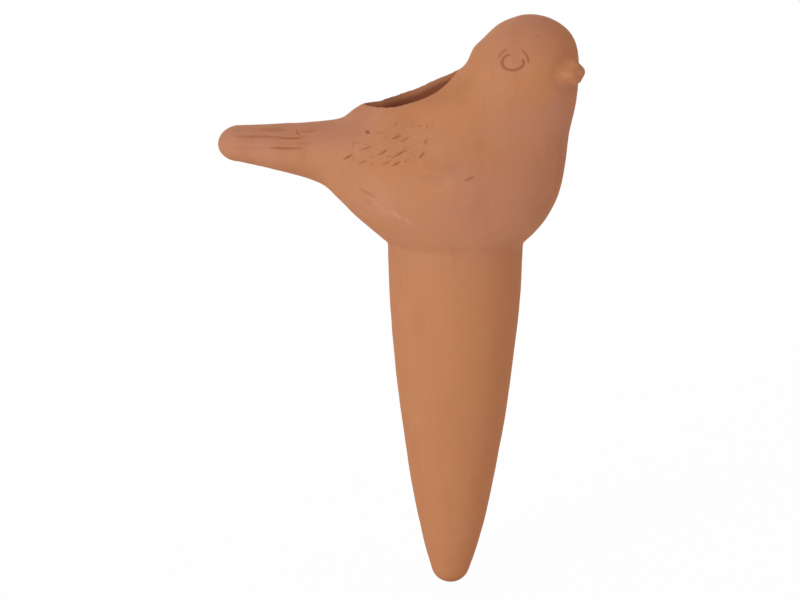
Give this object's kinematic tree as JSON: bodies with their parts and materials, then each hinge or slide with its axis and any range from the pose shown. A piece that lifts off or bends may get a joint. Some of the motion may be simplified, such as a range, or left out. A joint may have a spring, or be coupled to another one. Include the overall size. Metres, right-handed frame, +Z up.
{
  "type": "self watering spike",
  "caption": "Hollow terracotta bird on a hollow porous spike: water poured in at the back seeps into the soil.",
  "frame": {"origin": "where the spike's axis meets the soil line, in the crease between belly and spike", "axes": "+Z up along the spike's axis, +X towards the bird's breast, +Y to the bird's left"},
  "size_m": [0.1174, 0.059, 0.1844],
  "materials": {
    "terracotta": "matte",
    "slip": "matte"
  },
  "bodies": {
    "root": {"spike": "terracotta", "right_body_half": "terracotta", "left_body_half": "terracotta", "beak": "terracotta", "front_seam_slip": "slip", "rear_seam_slip": "slip", "spike_joint_slip": "slip", "beak_slip": "slip"}
  },
  "joints": []
}
